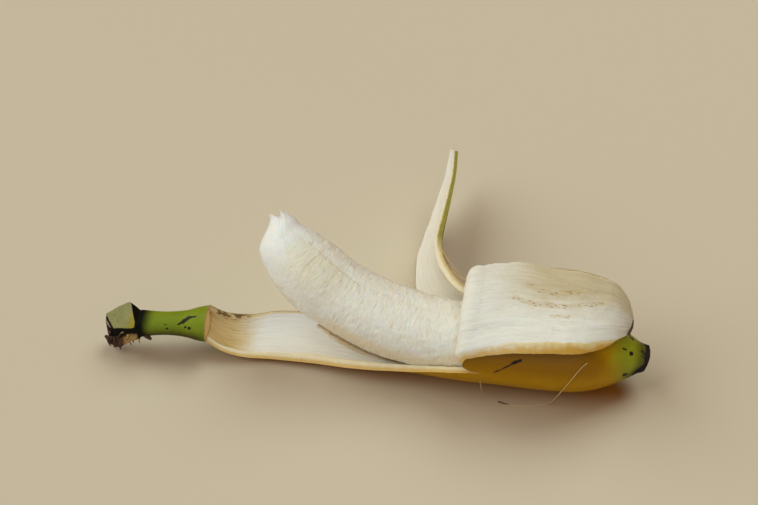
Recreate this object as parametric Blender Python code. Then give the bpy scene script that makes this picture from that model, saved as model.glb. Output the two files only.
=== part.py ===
"""A peeled banana lying on a table, its fruit standing half out of the skin.

Two solids share one frame, +X towards the blossom end, +Z up, the origin under the middle:
  peel   the skin in one piece: the blossom end and trunk, still closed round the fruit, the
         strip under the fruit that leads to neck, stem and crown, the strip folded back over
         the trunk, and the strip that stands out behind
  flesh  the fruit, which runs through the trunk and curves up out of it

Sizes and places are in millimetres, and MM turns them into metres. Places are taken from
the trunk's own zero, and ORIGIN moves them to the object's frame at the end.
"""

import math

import bmesh
import bpy
import numpy as np

MM = 0.001
ORIGIN = (-2.0, 42.75)  # the middle of the whole object, in x and y
SETTLE = 0.25  # how far the round underside is pressed flat on the table

# Skin
PEEL_THICK = 3.0
STRIP_END_THICK = 2.2
FIT_GAP = 0.3  # between skin and fruit

# Trunk: the closed part, from where the skin splits to the blossom end
SPLIT_X = 43.0
TRUNK_RADIUS = 17.0
TRUNK_CENTRE = (1.0, 17.0)
TAPER_START_X = 72.0
BLOSSOM_X = 107.5
BLOSSOM_CENTRE = (3.6, 14.2)
TRUNK_TAPER = (
    (72.0, 17.0),
    (78.0, 16.7),
    (83.0, 15.8),
    (88.7, 14.1),
    (92.5, 12.5),
    (98.6, 8.6),
    (103.0, 6.3),
    (106.2, 5.4),
)
HOLLOW_X = (78.0, 83.0, 87.5, 91.5)  # where the hollow for the fruit tapers
HOLLOW_END_X = 93.5

# The three splits, as angles from the trunk's top towards -Y
SPLIT_NEAR = math.radians(90)
SPLIT_UNDER = math.radians(195)
SPLIT_BACK = math.radians(-30)

# Each strip is drawn through sections: one edge, the other edge, how far the section bulges
# to its skin side, and for the fold how far it also arches up over the fruit. The first
# section lies on the trunk and is worked out from it.
FOLDED_STRIP = (
    ((40.6, 9.0, 32.3), (40.4, -16.0, 17.5), 0.0, 8.4),  # leaving the trunk
    ((38.2, 11.2, 34.4), (37.4, -16.3, 18.5), 0.0, 8.0),
    ((35.7, 15.0, 36.6), (34.6, -16.0, 20.6), 0.0, 6.8),
    ((36.2, 17.4, 38.3), (35.4, -15.7, 23.8), -0.8, 5.4),  # the fold
    ((40.0, 19.0, 38.3), (39.4, -15.5, 26.0), -1.8, 3.6),
    ((50.0, 21.6, 38.4), (51.0, -15.5, 30.2), -2.6, 0.8),  # lying back over the trunk
    ((66.0, 23.0, 39.2), (67.5, -15.6, 33.4), -2.2, 0.0),
    ((82.5, 21.8, 38.8), (80.0, -13.6, 33.2), -2.2, 0.0),
    ((90.0, 19.2, 37.6), (89.0, -7.2, 31.0), -1.8, 0.0),
    ((93.8, 15.0, 34.4), (93.4, 0.0, 28.4), -1.0, 0.0),
    ((96.6, 10.6, 28.2), (96.2, 7.0, 26.6), -0.2, 0.0),  # its rounded end
)
LOWER_STRIP = (
    ((39.0, -16.2, 16.9), (39.0, 5.2, 0.6), 6.6, 0.0),
    ((34.0, -16.3, 16.4), (33.0, 5.2, 0.9), 6.3, 0.0),
    ((24.0, -15.6, 14.2), (22.0, 7.0, 1.4), 5.8, 0.0),
    ((10.0, -13.4, 9.4), (8.0, 10.6, 2.8), 4.9, 0.0),
    ((-8.0, -12.2, 6.4), (-10.0, 13.2, 4.3), 4.7, 0.0),  # flat trough on the table
    ((-27.0, -9.4, 3.3), (-27.0, 14.2, 6.2), 4.5, 0.0),
    ((-43.0, -9.2, 2.7), (-42.0, 12.6, 7.6), 4.9, 0.0),
    ((-56.0, -9.9, 3.2), (-55.0, 8.6, 7.9), 5.4, 0.0),
    ((-63.4, -9.6, 5.4), (-63.6, 5.9, 11.0), 6.4, 0.0),
    ((-69.0, -8.3, 8.0), (-69.0, 2.9, 18.0), 7.5, 0.0),  # half of the neck
)
BACK_STRIP = (
    ((40.6, 5.6, 0.5), (40.6, 10.3, 30.9), 9.8, 0.0),
    ((36.0, 7.6, 0.5), (36.2, 14.0, 30.9), 7.8, 0.0),
    ((27.0, 13.8, 0.3), (30.2, 17.8, 30.8), 6.2, 0.0),
    ((17.0, 25.0, 0.2), (25.0, 25.4, 29.4), 4.6, 0.0),
    ((12.2, 39.0, 0.2), (21.4, 34.0, 28.0), 3.8, 0.0),  # standing on its lower edge
    ((11.0, 52.0, 0.2), (19.8, 45.0, 26.4), 3.0, 0.0),
    ((12.6, 66.0, 2.4), (20.2, 59.0, 23.4), 2.2, 0.0),
    ((15.8, 82.0, 8.0), (21.0, 74.0, 22.6), 1.4, 0.0),
    ((18.2, 95.0, 14.4), (21.4, 90.0, 22.2), 0.8, 0.0),
    ((18.6, 103.6, 20.0), (20.8, 101.0, 22.4), 0.3, 0.0),  # narrow end in the air
)

# How far from the trunk each strip's sections turn from square to the trunk to square to the
# strip. Those of the lower strip stay square to the trunk.
FOLDED_SQUARE = 4.0
BACK_SQUARE = 26.0

# Stem: centre of the section and its radius, from neck to crown
STEM = (
    ((-72.5, -3.2, 13.0), 6.9),
    ((-77.0, -3.9, 13.1), 5.6),
    ((-84.5, -4.9, 13.2), 4.8),
    ((-91.0, -6.0, 13.4), 5.0),
    ((-95.0, -6.8, 13.6), 5.5),
)
# Crown: a chunk with upright sides, given as x, then its reach in y and in z. A knife cut
# slopes across its top, and the plane of the cut is given by a point and its normal.
CROWN = (
    (-96.4, (-11.8, -3.0), (7.4, 17.6)),
    (-97.6, (-11.8, -2.6), (6.2, 18.6)),
    (-100.0, (-11.2, -2.4), (4.2, 21.0)),
    (-103.2, (-10.2, -2.4), (3.0, 21.0)),
    (-106.4, (-9.2, -2.6), (1.4, 19.0)),
    (-109.0, (-7.6, -3.0), (1.8, 16.0)),
    (-110.9, (-5.6, -3.2), (5.4, 13.4)),
)
CROWN_CORNERS = 5.0  # the higher, the squarer the section
CROWN_SHEAR = 0.35  # how far its broken underside leans to -Y, from CROWN_LEAN_Z down
CROWN_LEAN_Z = 12.0
CROWN_END = (-111.5, -4.2, 9.2)
KNIFE_POINT = (-104.0, -6.7, 15.5)
KNIFE_NORMAL = (-0.5, -0.5, 0.7)

# Fruit: straight inside the trunk, then a curve that tightens towards its tip and leans back
FLESH_END_X = 92.6
FLESH_BEND_X = 39.5
FLESH_BEND_LENGTH = 99.0
FLESH_FIRST_BEND = 167.0
FLESH_LAST_BEND = 68.2
FLESH_LEAN = math.radians(30)
FLESH_RADIUS = 13.5
FLESH_PROFILE = (
    (0, 13.5),
    (8, 13.7),
    (27, 14.6),
    (45, 14.5),
    (60, 14.2),
    (71, 14.5),
    (79, 13.5),
    (85, 12.0),
    (90, 10.2),
    (93, 8.6),
    (95, 7.0),
    (97, 5.0),
    (99, 3.5),
)
FLESH_TIP_SHIFT = 4.5  # the tip sits towards the inside of the curve
FLESH_SHIFT_START = 91.0

# Mesh density
STRIP_COLUMNS = 10
WALL_ROWS = 2
FOLD_LENGTH = 15.0  # the stretch of the folded strip that takes the fold
FOLD_ROWS = 14
FOLDED_ROWS = 20
LOWER_ROWS = 38
BACK_ROWS = 32
STEM_ROWS = 9
FLESH_COLUMNS = 26
FLESH_ROWS = 30


def smooth(start, end, x):
    """0 up to start, 1 from end on, with a soft step between."""
    t = np.clip((np.asarray(x, float) - start) / (end - start), 0.0, 1.0)
    return t * t * (3.0 - 2.0 * t)


def unit(vectors):
    length = np.linalg.norm(vectors, axis=-1, keepdims=True)
    return vectors / np.maximum(length, 1e-9)


def through(knots, values, at, first_slope=None):
    """A smooth curve through the values at the knots, read at the given parameters."""
    knots = np.asarray(knots, float)
    values = np.asarray(values, float).reshape(len(knots), -1)
    at = np.atleast_1d(np.asarray(at, float))
    steps = np.diff(knots)[:, None]
    chords = np.diff(values, axis=0) / steps
    slopes = np.empty_like(values)
    slopes[1:-1] = (chords[:-1] * steps[1:] + chords[1:] * steps[:-1]) / (steps[:-1] + steps[1:])
    slopes[0] = chords[0] if first_slope is None else first_slope
    slopes[-1] = chords[-1]
    i = np.clip(np.searchsorted(knots, at, side="right") - 1, 0, len(steps) - 1)
    step = steps[i]
    t = (at - knots[i])[:, None] / step
    return (
        values[i] * (1 + 2 * t) * (1 - t) ** 2
        + slopes[i] * step * t * (1 - t) ** 2
        + values[i + 1] * t * t * (3 - 2 * t)
        + slopes[i + 1] * step * t * t * (t - 1)
    )


def along_line(points):
    """Distance of each point along the line through them."""
    return np.concatenate([[0.0], np.cumsum(np.linalg.norm(np.diff(points, axis=0), axis=1))])


def trunk_centre(x):
    t = smooth(TAPER_START_X, BLOSSOM_X, x)
    y = TRUNK_CENTRE[0] + (BLOSSOM_CENTRE[0] - TRUNK_CENTRE[0]) * t
    z = TRUNK_CENTRE[1] + (BLOSSOM_CENTRE[1] - TRUNK_CENTRE[1]) * t
    return y, z


def trunk_radius(x):
    knots, radii = zip((SPLIT_X, TRUNK_RADIUS), *TRUNK_TAPER)
    return through(knots, radii, x, 0.0)[:, 0]


def round_trunk(x, angle, radius):
    """Points round the trunk's axis. The three arrays broadcast together."""
    x, angle, radius = np.broadcast_arrays(x, angle, radius)
    y, z = trunk_centre(x)
    return np.stack([x, y - radius * np.sin(angle), z + radius * np.cos(angle)], axis=-1)


class Strip:
    """A strip of skin: arcs between two edge curves, rooted on the trunk's round section."""

    def __init__(self, sections, square_length, first_angle, last_angle):
        root = round_trunk(SPLIT_X, np.array([first_angle, last_angle]), TRUNK_RADIUS)
        root_bulge = TRUNK_RADIUS * (1 - math.cos((last_angle - first_angle) / 2))
        rows = [(*root[0], *root[1], root_bulge, 0.0)]
        rows += [(*edge, *other, bulge, arch) for edge, other, bulge, arch in sections]
        self.rows = np.array(rows)
        self.knots = along_line((self.rows[:, 0:3] + self.rows[:, 3:6]) / 2)
        self.length = self.knots[-1]
        self.root_slope = np.array([-1.0, 0, 0, -1.0, 0, 0, 0, 0])
        self.square_length = square_length

    def edges(self, s):
        got = through(self.knots, self.rows, s, self.root_slope)
        return got[:, 0:3], got[:, 3:6], got[:, 6], got[:, 7]

    def skin(self, s, v):
        """The grid of points at distances s along the strip and fractions v across it."""
        step = 0.05
        first, last, bulge, arch = self.edges(s)
        before = sum(self.edges(s - step)[:2])
        after = sum(self.edges(s + step)[:2])
        share = smooth(0.0, self.square_length, s)[:, None]
        along = unit(unit(after - before) * share + (1 - share) * [-1.0, 0, 0])
        chord = np.linalg.norm(last - first, axis=1)
        across = unit(last - first)
        outward = unit(np.cross(along, across)) * bulge[:, None]
        upward = unit(np.cross(across, [1.0, 0, 0])) * arch[:, None]
        bow = outward + upward
        height = np.maximum(np.linalg.norm(bow, axis=1), 1e-3)
        half = 2 * np.arctan(2 * height / chord)
        radius = (chord / (2 * np.sin(half)))[:, None]
        angle = half[:, None] * (2 * v - 1)
        sideways = radius * np.sin(angle)
        lift = radius * (np.cos(angle) - np.cos(half)[:, None])
        middle = (first + last) / 2
        bow = bow / height[:, None]
        return middle[:, None] + across[:, None] * sideways[..., None] + bow[:, None] * lift[..., None]

    def normal(self, s, v):
        """Unit normals of the skin side, on the same grid."""
        ds, dv = 0.2, 0.01
        ahead = self.skin(np.minimum(s + ds, self.length), v)
        behind = self.skin(np.maximum(s - ds, 0.0), v)
        one_side = self.skin(s, np.minimum(v + dv, 1.0))
        other_side = self.skin(s, np.maximum(v - dv, 0.0))
        return unit(np.cross(ahead - behind, one_side - other_side))

    def inside(self, s, v):
        normal = self.normal(s, v)
        if math.isinf(self.square_length):
            normal = unit(normal * [0, 1, 1])
        share = smooth(0.5, 1.0, s / self.length)
        thick = PEEL_THICK + (STRIP_END_THICK - PEEL_THICK) * share
        return self.skin(s, v) - normal * thick[:, None, None]


class Shell:
    """A closed mesh put together from grids that share vertices."""

    def __init__(self):
        self.points = []
        self.faces = []

    def add(self, points):
        """Adds points of any grid shape and returns their numbers in the same shape."""
        points = np.asarray(points, float)
        first = len(self.points)
        self.points.extend(points.reshape(-1, 3))
        return np.arange(first, len(self.points)).reshape(points.shape[:-1])

    def place(self, numbers):
        return np.array([self.points[i] for i in numbers])

    def sheet(self, grid, closed=False):
        """Faces over a grid of vertex numbers. Closed joins the last column to the first."""
        grid = np.asarray(grid)
        if closed:
            grid = np.concatenate([grid, grid[:, :1]], axis=1)
        for row, following in zip(grid[:-1], grid[1:]):
            for a, b, c, d in zip(row[:-1], row[1:], following[1:], following[:-1]):
                self.faces.append([int(a), int(b), int(c), int(d)])

    def fan(self, ring, tip):
        for a, b in zip(ring, np.roll(ring, -1)):
            self.faces.append([int(a), int(b), int(tip)])

    def patch(self, left, right, bottom, top):
        """Fills four borders of vertex numbers: left and right run from bottom to top."""
        u = np.linspace(0, 1, len(left))[1:-1, None, None]
        v = np.linspace(0, 1, len(bottom))[None, 1:-1, None]
        west, east, south, north = (self.place(side) for side in (left, right, bottom, top))
        sides = west[1:-1, None] * (1 - v) + east[1:-1, None] * v
        ends = south[None, 1:-1] * (1 - u) + north[None, 1:-1] * u
        low = south[0] * (1 - v) + south[-1] * v
        high = north[0] * (1 - v) + north[-1] * v
        inner = self.add(sides + ends - low * (1 - u) - high * u)
        middle = np.concatenate([left[1:-1, None], inner, right[1:-1, None]], axis=1)
        self.sheet(np.concatenate([[bottom], middle, [top]]))


def grow_trunk(shell, angles):
    """The closed part of the skin. Returns the outer and the inner ring at the split."""
    straight = np.linspace(SPLIT_X, TAPER_START_X, 5)
    x = np.concatenate([straight, [knot for knot, _ in TRUNK_TAPER[1:]]])
    outer = shell.add(round_trunk(x[:, None], angles, trunk_radius(x)[:, None]))
    shell.sheet(outer, closed=True)
    shell.fan(outer[-1], shell.add([BLOSSOM_X, *BLOSSOM_CENTRE]))

    x = np.concatenate([straight, HOLLOW_X])
    radius = trunk_radius(x) - PEEL_THICK
    inner = shell.add(round_trunk(x[:, None], angles, radius[:, None]))
    shell.sheet(inner, closed=True)
    shell.fan(inner[-1], shell.add([HOLLOW_END_X, *trunk_centre(HOLLOW_END_X)]))
    return outer[0], inner[0]


def rows_along(length, fold_rows, rows):
    """Row distances along a strip. One that folds has closer rows over its fold."""
    fold = np.linspace(0, FOLD_LENGTH, fold_rows + 1)[1:]
    start = FOLD_LENGTH if fold_rows else 0.0
    return np.concatenate([fold, np.linspace(start, length, rows + 1)[1:]])


def grow_strip(shell, strip, fold_rows, rows, outer_root, inner_root, first_wall, last_wall):
    """One strip from its root to its end. Returns its end's skin, inner and two wall rows."""
    s = rows_along(strip.length, fold_rows, rows)
    v = np.linspace(0, 1, STRIP_COLUMNS + 1)
    skin, inside = strip.skin(s, v), strip.inside(s, v)
    skin_ids = np.concatenate([[outer_root], shell.add(skin)])
    inside_ids = np.concatenate([[inner_root], shell.add(inside)])
    shell.sheet(skin_ids)
    shell.sheet(inside_ids)
    share = np.arange(1, WALL_ROWS)[:, None] / WALL_ROWS
    ends = []
    for edge, root in ((0, first_wall), (-1, last_wall)):
        between = shell.add(skin[:, edge, None] * (1 - share) + inside[:, edge, None] * share)
        rest = np.concatenate([skin_ids[1:, edge, None], between, inside_ids[1:, edge, None]], axis=1)
        shell.sheet(np.concatenate([[root], rest]))
        ends.append(rest[-1])
    return skin_ids[-1], inside_ids[-1], ends[0], ends[1]


def crown_ring(directions, x, reach_y, reach_z):
    """One section of the crown, its top cut off by the knife's plane."""
    centre = np.array([x, sum(reach_y) / 2, sum(reach_z) / 2])
    half_y = (reach_y[1] - reach_y[0]) / 2
    half_z = (reach_z[1] - reach_z[0]) / 2
    power = CROWN_CORNERS
    shares = np.abs(directions[:, 1] / half_y) ** power + np.abs(directions[:, 2] / half_z) ** power
    ring = centre + directions * [0, 1, 1] * (shares ** (-1 / power))[:, None]
    ring[:, 1] += CROWN_SHEAR * np.minimum(ring[:, 2] - CROWN_LEAN_Z, 0.0)
    run = (ring[:, :2] - KNIFE_POINT[:2]) @ KNIFE_NORMAL[:2]
    ring[:, 2] = np.minimum(ring[:, 2], KNIFE_POINT[2] - run / KNIFE_NORMAL[2])
    return ring


def grow_stem(shell, skin_end, inside_end, first_wall, last_wall):
    """Neck, stem and crown on the end of the lower strip."""
    low = shell.place(skin_end)
    centre = (low[0] + low[-1]) / 2
    side = unit(low[-1] - low[0])
    down = unit(low[STRIP_COLUMNS // 2] - centre)
    neck_radius = np.linalg.norm(low[0] - centre)

    lower_turn = np.linspace(-math.pi / 2, math.pi / 2, STRIP_COLUMNS + 1)
    upper_turn = lower_turn + math.pi
    turn = np.concatenate([lower_turn, upper_turn[1:-1]])
    circle = side * np.sin(turn)[:, None] + down * np.cos(turn)[:, None]

    torn = shell.add(centre + neck_radius * circle[STRIP_COLUMNS + 1 :])
    inner_half = np.concatenate([first_wall[1:-1], inside_end, last_wall[1:-1][::-1]])
    outer_half = np.concatenate([skin_end[-1:], torn, skin_end[:1]])
    shell.fan(np.concatenate([inner_half, outer_half]), shell.add(centre - 0.2 * neck_radius * down))

    ring = np.concatenate([skin_end, torn])
    sections = np.array([(*centre, neck_radius)] + [(*place, radius) for place, radius in STEM])
    knots = along_line(sections[:, :3])
    for section in through(knots, sections, np.linspace(0, knots[-1], STEM_ROWS + 1)[1:]):
        following = shell.add(section[:3] + section[3] * circle)
        shell.sheet([ring, following], closed=True)
        ring = following
    for section in CROWN:
        following = shell.add(crown_ring(circle, *section))
        shell.sheet([ring, following], closed=True)
        ring = following
    shell.fan(ring, shell.add(CROWN_END))


def peel_shell():
    shell = Shell()
    spans = (
        (FOLDED_STRIP, FOLD_ROWS, FOLDED_ROWS, FOLDED_SQUARE, SPLIT_BACK, SPLIT_NEAR),
        (LOWER_STRIP, 0, LOWER_ROWS, math.inf, SPLIT_NEAR, SPLIT_UNDER),
        (BACK_STRIP, 0, BACK_ROWS, BACK_SQUARE, SPLIT_UNDER, SPLIT_BACK + 2 * math.pi),
    )
    angles = np.concatenate([np.linspace(a, b, STRIP_COLUMNS + 1)[:-1] for *_, a, b in spans])
    outer, inner = grow_trunk(shell, angles)

    share = np.arange(1, WALL_ROWS)[:, None] / WALL_ROWS
    walls = []
    for column in range(0, len(angles), STRIP_COLUMNS):
        a, b = shell.place([outer[column], inner[column]])
        between = shell.add(a * (1 - share) + b * share)
        walls.append(np.concatenate([[outer[column]], between, [inner[column]]]))

    for i, (sections, fold_rows, rows, square_length, first_angle, last_angle) in enumerate(spans):
        columns = (np.arange(STRIP_COLUMNS + 1) + i * STRIP_COLUMNS) % len(angles)
        strip = Strip(sections, square_length, first_angle, last_angle)
        roots = outer[columns], inner[columns], walls[i], walls[(i + 1) % 3]
        skin_end, inside_end, first_wall, last_wall = grow_strip(shell, strip, fold_rows, rows, *roots)
        if sections is LOWER_STRIP:
            grow_stem(shell, skin_end, inside_end, first_wall, last_wall)
        else:
            shell.patch(first_wall, last_wall, skin_end, inside_end)
    return shell


def flesh_axis():
    """Distance from where the bend starts, centre, and direction to the inside of the curve."""
    bend = np.linspace(0, FLESH_BEND_LENGTH, 2 * FLESH_ROWS + 1)
    tightness = (1 / FLESH_LAST_BEND - 1 / FLESH_FIRST_BEND) / FLESH_BEND_LENGTH
    turned = bend / FLESH_FIRST_BEND + tightness * bend**2 / 2
    step = bend[1] - bend[0]
    middle = (turned[1:] + turned[:-1]) / 2
    forward = np.concatenate([[0.0], np.cumsum(np.cos(middle) * step)])
    risen = np.concatenate([[0.0], np.cumsum(np.sin(middle) * step)])
    rise = np.array([0.0, math.sin(FLESH_LEAN), math.cos(FLESH_LEAN)])
    start = np.array([FLESH_BEND_X, *TRUNK_CENTRE])
    centre = start - forward[:, None] * [1.0, 0, 0] + risen[:, None] * rise
    inward = np.sin(turned)[:, None] * [1.0, 0, 0] + np.cos(turned)[:, None] * rise
    return bend, centre, inward


def flesh_shell():
    shell = Shell()
    around = np.linspace(0, 2 * math.pi, FLESH_COLUMNS + 1)[:-1]
    x = np.array([*HOLLOW_X[::-1], TAPER_START_X, 62.0, 52.0])
    radius = np.minimum(trunk_radius(x) - PEEL_THICK - FIT_GAP, FLESH_RADIUS)
    inside = shell.add(round_trunk(x[:, None], -around, radius[:, None]))
    shell.sheet(inside, closed=True)
    shell.fan(inside[0], shell.add([FLESH_END_X, *trunk_centre(FLESH_END_X)]))

    s, centre, inward = flesh_axis()
    knots, radii = zip(*FLESH_PROFILE)
    radius = through(knots, radii, s)[:, 0]
    shift = FLESH_TIP_SHIFT * smooth(FLESH_SHIFT_START, FLESH_BEND_LENGTH, s)
    centre = centre + inward * shift[:, None]
    side = np.array([0.0, math.cos(FLESH_LEAN), -math.sin(FLESH_LEAN)])
    ring = inside[-1]
    for i in range(0, len(s), 2):
        spin = around + FLESH_LEAN * (1 - smooth(0, 20, s[i]))
        circle = inward[i] * np.cos(spin)[:, None] + side * np.sin(spin)[:, None]
        following = shell.add(centre[i] + radius[i] * circle)
        shell.sheet([ring, following], closed=True)
        ring = following
    shell.fan(ring, shell.add(centre[-1] + 0.8 * unit(centre[-1] - centre[-2])))
    return shell


def solid(name, shell, colour, roughness):
    points = np.array(shell.points)
    points[:, 2] = np.maximum(points[:, 2] - SETTLE, 0.0)
    points[:, :2] -= ORIGIN
    mesh = bpy.data.meshes.new(name)
    mesh.from_pydata((points * MM).tolist(), [], shell.faces)
    whole = bmesh.new()
    whole.from_mesh(mesh)
    bmesh.ops.recalc_face_normals(whole, faces=whole.faces)
    whole.to_mesh(mesh)
    whole.free()
    mesh.shade_smooth()
    mesh.set_sharp_from_angle(angle=math.radians(50))

    material = bpy.data.materials.new(name)
    material.use_nodes = True
    shader = material.node_tree.nodes["Principled BSDF"]
    shader.inputs["Base Color"].default_value = (*colour, 1.0)
    shader.inputs["Roughness"].default_value = roughness
    shader.inputs["Metallic"].default_value = 0.0
    mesh.materials.append(material)
    bpy.context.scene.collection.objects.link(bpy.data.objects.new(name, mesh))


def main():
    for obj in list(bpy.data.objects):
        bpy.data.objects.remove(obj, do_unlink=True)
    solid("peel", peel_shell(), colour=(0.62, 0.50, 0.16), roughness=0.5)
    solid("flesh", flesh_shell(), colour=(0.84, 0.79, 0.66), roughness=0.6)


main()
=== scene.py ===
"""The looks of the half-peeled banana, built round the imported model.

The skin and the fruit are modelled again at a finer pitch from the same sizes as the solids,
with cut edges, torn ends, ridges and loose strings. Sizes are in millimetres, and places are
first in the part's own zero: x along the trunk, z up from the table.
"""

import math

import bmesh
import bpy
import numpy as np
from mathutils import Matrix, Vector, noise


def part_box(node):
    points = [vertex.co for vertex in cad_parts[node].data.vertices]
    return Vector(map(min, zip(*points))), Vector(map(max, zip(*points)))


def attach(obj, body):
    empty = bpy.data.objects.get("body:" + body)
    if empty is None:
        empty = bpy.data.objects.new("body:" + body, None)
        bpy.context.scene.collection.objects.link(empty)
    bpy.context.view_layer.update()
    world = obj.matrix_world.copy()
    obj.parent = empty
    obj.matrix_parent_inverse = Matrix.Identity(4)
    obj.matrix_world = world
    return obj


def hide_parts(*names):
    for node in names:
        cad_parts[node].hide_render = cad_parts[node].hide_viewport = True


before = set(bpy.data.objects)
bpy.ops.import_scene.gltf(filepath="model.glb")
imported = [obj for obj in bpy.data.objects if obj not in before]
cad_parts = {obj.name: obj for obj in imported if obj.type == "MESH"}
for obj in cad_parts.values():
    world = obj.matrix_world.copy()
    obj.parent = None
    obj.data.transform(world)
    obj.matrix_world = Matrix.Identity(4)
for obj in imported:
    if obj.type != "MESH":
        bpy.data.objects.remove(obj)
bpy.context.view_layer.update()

MM = 0.001

# Skin
PEEL_THICK = 3
STRIP_END_THICK = 2.2
FIT_GAP = 0.3
SETTLE = 0.25
OUTER_EDGE_RAG, INNER_EDGE_RAG = 0.25, 0.55  # how uneven the strips' torn edges are

# Trunk
SPLIT_X = 43
TRUNK_RADIUS = 17
TRUNK_CENTRE = (1, 17)
TAPER_START_X = 72
BLOSSOM_X = 107.5
BLOSSOM_CENTRE = (3.6, 14.2)
TRUNK_TAPER = (
    *((72, 17), (78, 16.7), (83, 15.8), (88.7, 14.1)),
    *((92.5, 12.5), (98.6, 8.6), (103, 6.3), (106.2, 5.4)),
)
# The rounded cap: share of the last radius, share of the reach kept back, height of its ridge
CAP = ((0.94, 0.45, 0.7), (0.75, 0.15, 0.42), (0.5, 0, 0), (0.25, 0.1, 0))
# The chin, which is the fuller lower side of the blossom end: its reach in y and in z, and how
# far the end slopes back above and further below
CHIN_TURN = 0.4
CHIN_REACH = (-0.5, -1.7)
END_SLOPE = (0.6, 2.2)
HOLLOW_END_X = 93.5
HOLLOW_ROUND_X = 91.5
SPLIT_NEAR = math.radians(90)
SPLIT_UNDER = math.radians(195)
SPLIT_BACK = math.radians(-30)

# Strips: one edge, the other edge, the bulge to the skin side and the arch over the fruit
FOLDED_STRIP = (
    (40.6, 9, 32.3, 40.4, -16, 17.5, 0, 8.4),
    (38.2, 11.2, 34.4, 37.4, -16.3, 18.5, 0, 8),
    (35.7, 15, 36.6, 34.6, -16, 20.6, 0, 6.8),
    (36.2, 17.4, 38.3, 35.4, -15.7, 23.8, -0.8, 5.4),
    (40, 19, 38.3, 39.4, -15.5, 26, -1.8, 3.6),
    (50, 21.6, 38.4, 51, -15.5, 30.2, -2.6, 0.8),
    (66, 23, 39.2, 67.5, -15.6, 33.4, -2.2, 0),
    (82.5, 21.8, 38.8, 80, -13.6, 33.2, -2.2, 0),
    (90, 19.2, 37.6, 89, -7.2, 31, -1.8, 0),
    (93.8, 15, 34.4, 93.4, 0, 28.4, -1, 0),
    (96.6, 10.6, 28.2, 96.2, 7, 26.6, -0.2, 0),
)
LOWER_STRIP = (
    (39, -16.2, 16.9, 39, 5.2, 0.6, 6.6, 0),
    (34, -16.3, 16.4, 33, 5.2, 0.9, 6.3, 0),
    (24, -15.6, 14.2, 22, 7, 1.4, 5.8, 0),
    (10, -13.4, 9.4, 8, 10.6, 2.8, 4.9, 0),
    (-8, -12.2, 6.4, -10, 13.2, 4.3, 4.7, 0),
    (-27, -9.4, 3.3, -27, 14.2, 6.2, 4.5, 0),
    (-43, -9.2, 2.7, -42, 12.6, 7.6, 4.9, 0),
    (-56, -9.9, 3.2, -55, 8.6, 7.9, 5.4, 0),
    (-63.4, -9.6, 5.4, -63.6, 5.9, 11, 6.4, 0),
    (-69, -8.3, 8, -69, 2.9, 18, 7.5, 0),
)
BACK_STRIP = (
    (40.6, 5.6, 0.5, 40.6, 10.3, 30.9, 9.8, 0),
    (36, 7.6, 0.5, 36.2, 14, 30.9, 7.8, 0),
    (27, 13.8, 0.3, 30.2, 17.8, 30.8, 6.2, 0),
    (17, 25, 0.2, 25, 25.4, 29.4, 4.6, 0),
    (12.2, 39, 0.2, 21.4, 34, 28, 3.8, 0),
    (11, 52, 0.2, 19.8, 45, 26.4, 3, 0),
    (12.6, 66, 2.4, 20.2, 59, 23.4, 2.2, 0),
    (15.8, 82, 8, 21, 74, 22.6, 1.4, 0),
    (18.2, 95, 14.4, 21.4, 90, 22.2, 0.8, 0),
    (18.6, 103.6, 20, 20.8, 101, 22.4, 0.3, 0),
)
# How far each cut edge slopes in from the skin to the inner face: share of length, then mm
STRAIGHT = ((0, 0),)
FOLDED_SLOPES = (
    ((0, 0.6), (0.45, 0.8), (0.6, 3.4), (0.85, 3.2), (1, 1)),
    ((0, 1.2), (0.12, 3.2), (0.9, 3.6), (1, 1)),
)
LOWER_SLOPES = (((0, 0.2), (0.3, 0.4), (0.5, 2), (0.7, 1.6), (1, 1.2)), ((0, 0.6),))
BACK_SLOPES = (((0, 0.4),), ((0, 1.2), (0.4, 1.2), (0.6, 1.8), (1, 1)))
# The length over which a strip's sections turn from the trunk's direction to its own
FOLDED_SQUARE = 4
BACK_SQUARE = 26
CHART_WIDTH = 36  # what the chart calls the full width of a strip
CHART_STEP = 100  # added to the chart's distance across for each further strip

# Stem: centre and radius. Crown: x, then the reach in y and the reach in z
STEM = (
    (-72.5, -3.2, 13, 6.9),
    (-77, -3.9, 13.1, 5.6),
    (-84.5, -4.9, 13.2, 4.8),
    (-91, -6, 13.4, 5),
    (-95, -6.8, 13.6, 5.5),
)
CROWN = (
    (-96.4, -11.8, -3, 8.6, 17.6),
    (-97.6, -11.8, -2.6, 8, 18.6),
    (-100, -11.2, -2.4, 6.4, 21),
    (-103.2, -10.2, -2.4, 4.6, 21),
    (-106.4, -9.2, -2.6, 2.8, 19),
    (-109, -7.6, -3, 3.2, 16),
    (-110.9, -5.6, -3.2, 5.8, 13.4),
)
CROWN_CHART = 28  # added to the chart's distance along for the crown
CROWN_CORNERS = 20
CROWN_SHEAR = 0.35
CROWN_LEAN_Z = 12
CROWN_END = (-111.5, -4.2, 9.2)
# Below, shares of the height that the crown is drawn back and up, and how uneven along x, y and z
CROWN_DRAWN_BACK, CROWN_DRAWN_UP = 0.25, 0.45
CROWN_RAG = (0.1, 0.22, 0.12)
CROWN_DEEPEST_RAG = 4
KNIFE_POINT = (-104, -6.7, 15.5)
KNIFE_NORMAL = (-0.5, -0.5, 0.7)
NECK_RINGS = (0.9, 0.75, 0.5, 0.25)  # of the flat face that closes the neck, as shares

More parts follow.
